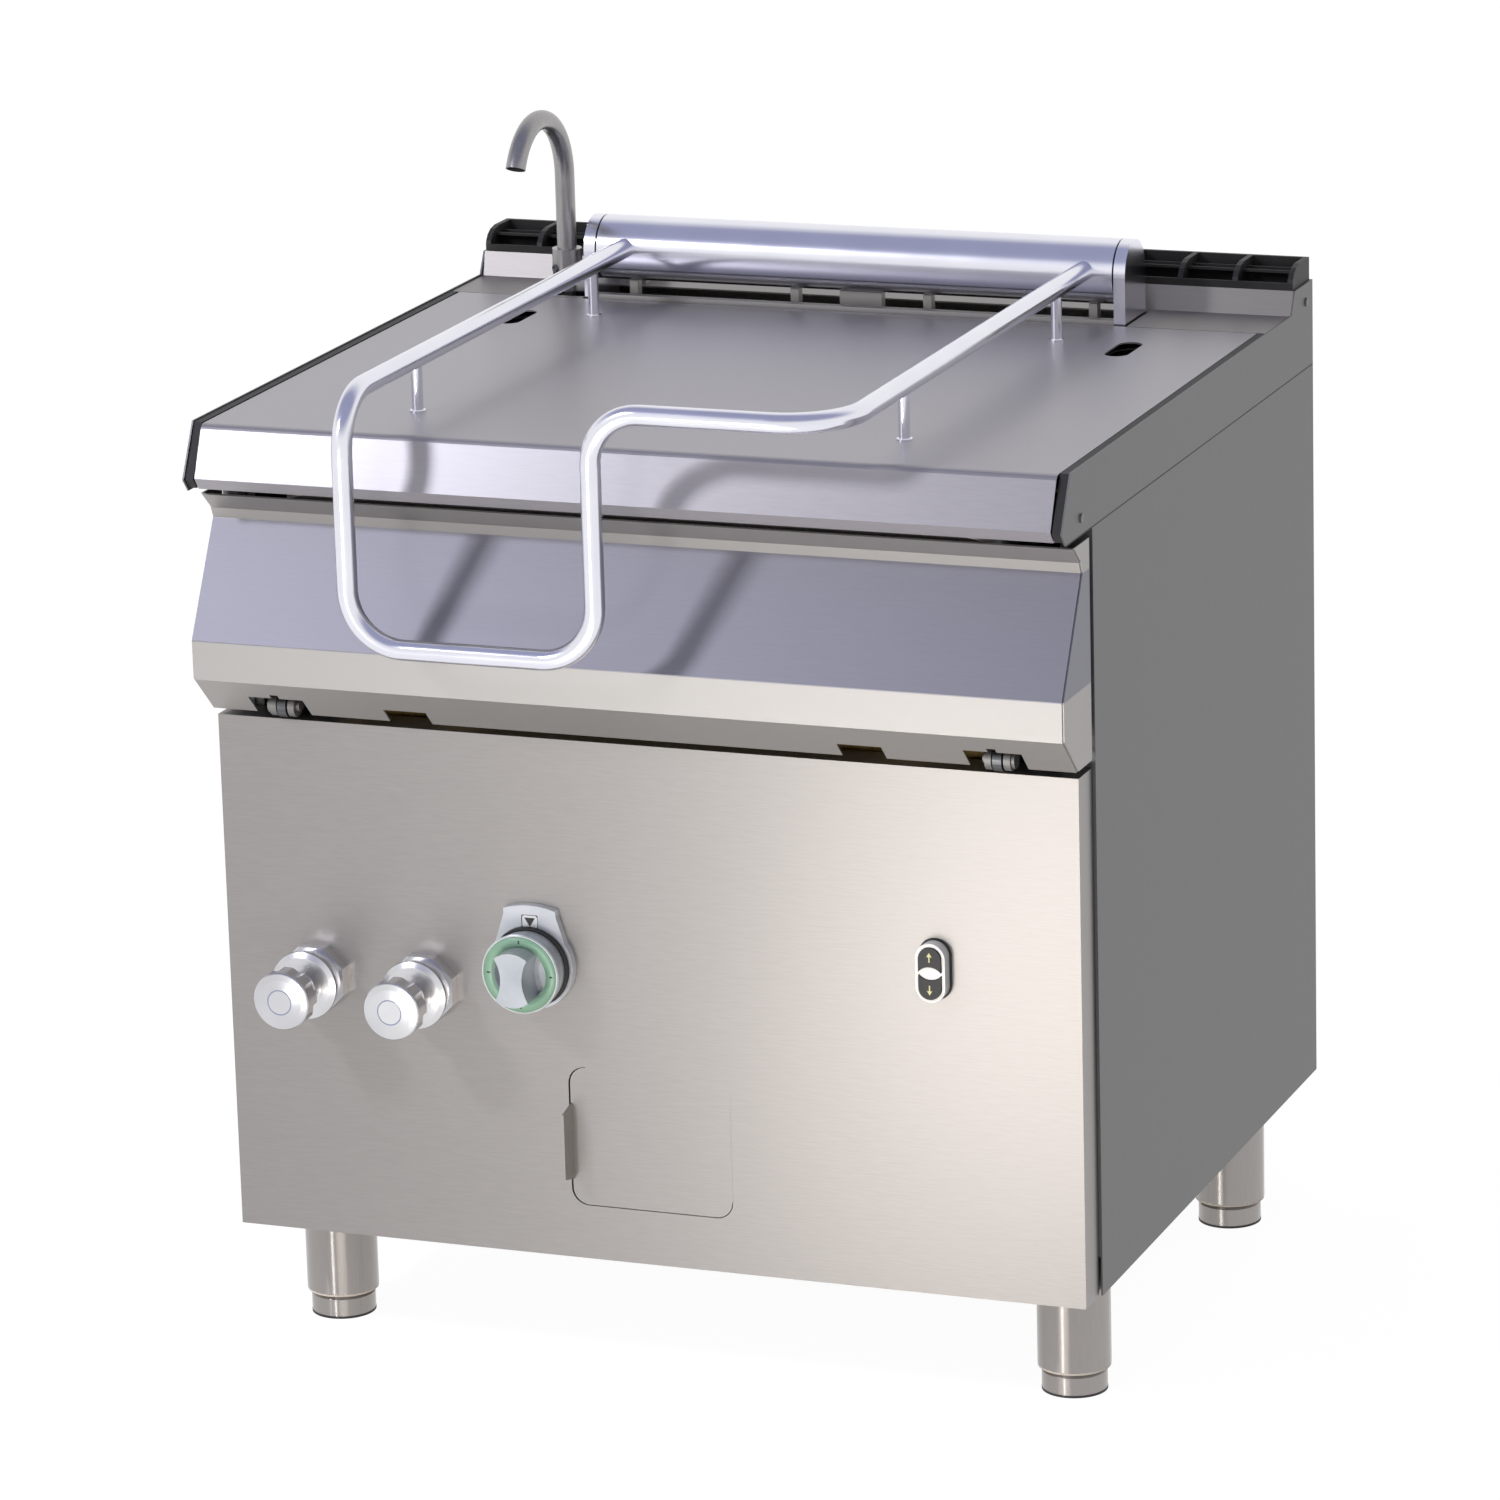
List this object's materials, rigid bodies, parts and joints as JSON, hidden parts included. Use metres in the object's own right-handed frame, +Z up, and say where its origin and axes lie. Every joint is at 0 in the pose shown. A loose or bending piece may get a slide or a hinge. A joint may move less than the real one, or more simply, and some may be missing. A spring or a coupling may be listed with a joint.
{
  "type": "tilting bratt pan",
  "caption": "Tilting bratt pan: cabinet on round feet, vessel with sloping apron that tips forward, balanced lid with bent tube handle, water spout, knobs and tilt switch.",
  "frame": {"origin": "on the floor, under the middle of the whole outline", "axes": "+Z up, +X towards the tilt switch side, -Y towards the user in front"},
  "size_m": [0.8032, 0.793, 1.0322],
  "materials": {
    "satin_steel": "satin sheet, fine grain",
    "apron_steel": "satin sheet",
    "lid_steel": "fine satin sheet, soft sheen",
    "panel_steel": "satin sheet",
    "inner_steel": "mill finish",
    "vessel_steel": "ground inside of the vessel",
    "frame_steel": "mill finish",
    "leg_steel": "satin tube",
    "polished_chrome": "polished",
    "satin_chrome": "satin and polished faces",
    "spout_steel": "satin tube",
    "machined_steel": "machined",
    "spring_steel": "drawn wire",
    "seal_rubber": "matte black",
    "cast_black": "black enamel, rough",
    "burner_steel": "heat tinted",
    "gas_brass": "machined",
    "water_copper": "drawn copper tube",
    "box_plastic": "moulded",
    "motor_paint": "grey-blue paint",
    "bezel_paint": "satin pale grey",
    "knob_grey": "satin grey with a green ring",
    "switch_white": "white",
    "contact_plastic": "moulded",
    "button_black": "black with arrows"
  },
  "bodies": {
    "cabinet": {"base_frame": "frame_steel", "base_tray": "frame_steel", "corner_posts": "frame_steel", "cross_rails": "frame_steel", "rear_cross_rail": "frame_steel", "side_panel_left": "panel_steel", "side_panel_right": "panel_steel", "front_panel": "satin_steel", "rear_panel": "inner_steel", "cheeks": "panel_steel", "lid_seals": "seal_rubber", "cheek_screws": "inner_steel", "rear_deck": "satin_steel", "flue_grate_left": "cast_black", "flue_grate_right": "cast_black", "flue_ducts": "inner_steel", "leg_tubes": "leg_steel", "burner_chamber": "inner_steel", "burners": "burner_steel", "gas_manifold": "gas_brass", "gas_valve": "gas_brass", "gas_bezel": "bezel_paint", "gas_pipes": "gas_brass", "water_pipes": "water_copper", "water_valves": "satin_chrome", "inlets": "gas_brass", "terminal_box": "box_plastic", "tilt_switch_bezel": "switch_white", "contact_block": "contact_plastic", "flap_hinge": "inner_steel", "tilt_brackets": "machined_steel", "rest_pads": "seal_rubber", "gearmotor": "motor_paint"},
    "foot_front_left": {"foot_front_left": "leg_steel"},
    "foot_front_right": {"foot_front_right": "leg_steel"},
    "foot_rear_left": {"foot_rear_left": "leg_steel"},
    "foot_rear_right": {"foot_rear_right": "leg_steel"},
    "pan": {"vessel": "vessel_steel", "vessel_floor_plate": "vessel_steel", "apron": "apron_steel", "pan_beam": "inner_steel", "tilt_pins": "inner_steel", "tilt_quadrant": "machined_steel", "hinge_bridge": "apron_steel", "hinge_brackets": "polished_chrome", "hinge_axles": "machined_steel", "spout_socket": "spout_steel", "spout_tube": "spout_steel"},
    "pinion": {"drive_pinion": "machined_steel"},
    "lid": {"lid": "lid_steel", "lid_skin": "inner_steel", "hinge_cylinder": "polished_chrome", "lid_springs": "spring_steel", "handle": "polished_chrome"},
    "gas_knob": {"gas_knob": "knob_grey"},
    "water_knob_left": {"water_knob_left": "satin_chrome"},
    "water_knob_right": {"water_knob_right": "satin_chrome"},
    "up_button": {"up_button": "button_black"},
    "down_button": {"down_button": "button_black"},
    "access_flap": {"access_flap": "satin_steel"}
  },
  "joints": [
    {"name": "pan_tilt", "type": "hinge", "parent": "cabinet", "child": "pan", "pos_m": [0, -0.2955, 0.6], "axis": [1, 0, 0], "range_deg": [0, 75]},
    {"name": "pinion_turn", "type": "hinge", "parent": "cabinet", "child": "pinion", "pos_m": [0.349, 0.0283, 0.61131], "axis": [1, 0, 0], "range_deg": [-940, 2]},
    {"name": "lid_turn", "type": "hinge", "parent": "pan", "child": "lid", "pos_m": [0, 0.29, 0.8955], "axis": [1, 0, 0], "range_deg": [-85, 0]},
    {"name": "gas_knob_turn", "type": "hinge", "parent": "cabinet", "child": "gas_knob", "pos_m": [-0.104, -0.2925, 0.3815], "axis": [0, -1, 0], "range_deg": [-270, 0]},
    {"name": "left_tap_turn", "type": "hinge", "parent": "cabinet", "child": "water_knob_left", "pos_m": [-0.312, -0.2925, 0.3525], "axis": [0, -1, 0], "range_deg": [0, 720]},
    {"name": "right_tap_turn", "type": "hinge", "parent": "cabinet", "child": "water_knob_right", "pos_m": [-0.2075, -0.2925, 0.3525], "axis": [0, -1, 0], "range_deg": [0, 720]},
    {"name": "up_press", "type": "slide", "parent": "cabinet", "child": "up_button", "axis": [0, 1, 0], "range_m": [0, 0.003], "stiffness_N_per_m": 800},
    {"name": "down_press", "type": "slide", "parent": "cabinet", "child": "down_button", "axis": [0, 1, 0], "range_m": [0, 0.003], "stiffness_N_per_m": 800},
    {"name": "flap_swing", "type": "hinge", "parent": "cabinet", "child": "access_flap", "pos_m": [0.1, -0.2835, 0.227], "axis": [0, 0, 1], "range_deg": [0, 90]},
    {"name": "front_left_level", "type": "hinge", "parent": "cabinet", "child": "foot_front_left", "pos_m": [-0.35, -0.1855, 0.022], "axis": [0, 0, 1], "range_deg": [-720, 720]},
    {"name": "front_right_level", "type": "hinge", "parent": "cabinet", "child": "foot_front_right", "pos_m": [0.35, -0.1855, 0.022], "axis": [0, 0, 1], "range_deg": [-720, 720]},
    {"name": "rear_left_level", "type": "hinge", "parent": "cabinet", "child": "foot_rear_left", "pos_m": [-0.35, 0.2775, 0.022], "axis": [0, 0, 1], "range_deg": [-720, 720]},
    {"name": "rear_right_level", "type": "hinge", "parent": "cabinet", "child": "foot_rear_right", "pos_m": [0.35, 0.2775, 0.022], "axis": [0, 0, 1], "range_deg": [-720, 720]}
  ],
  "couplings": [
    {"joint": "pinion_turn", "follows": "pan_tilt", "ratio": -12.5}
  ]
}
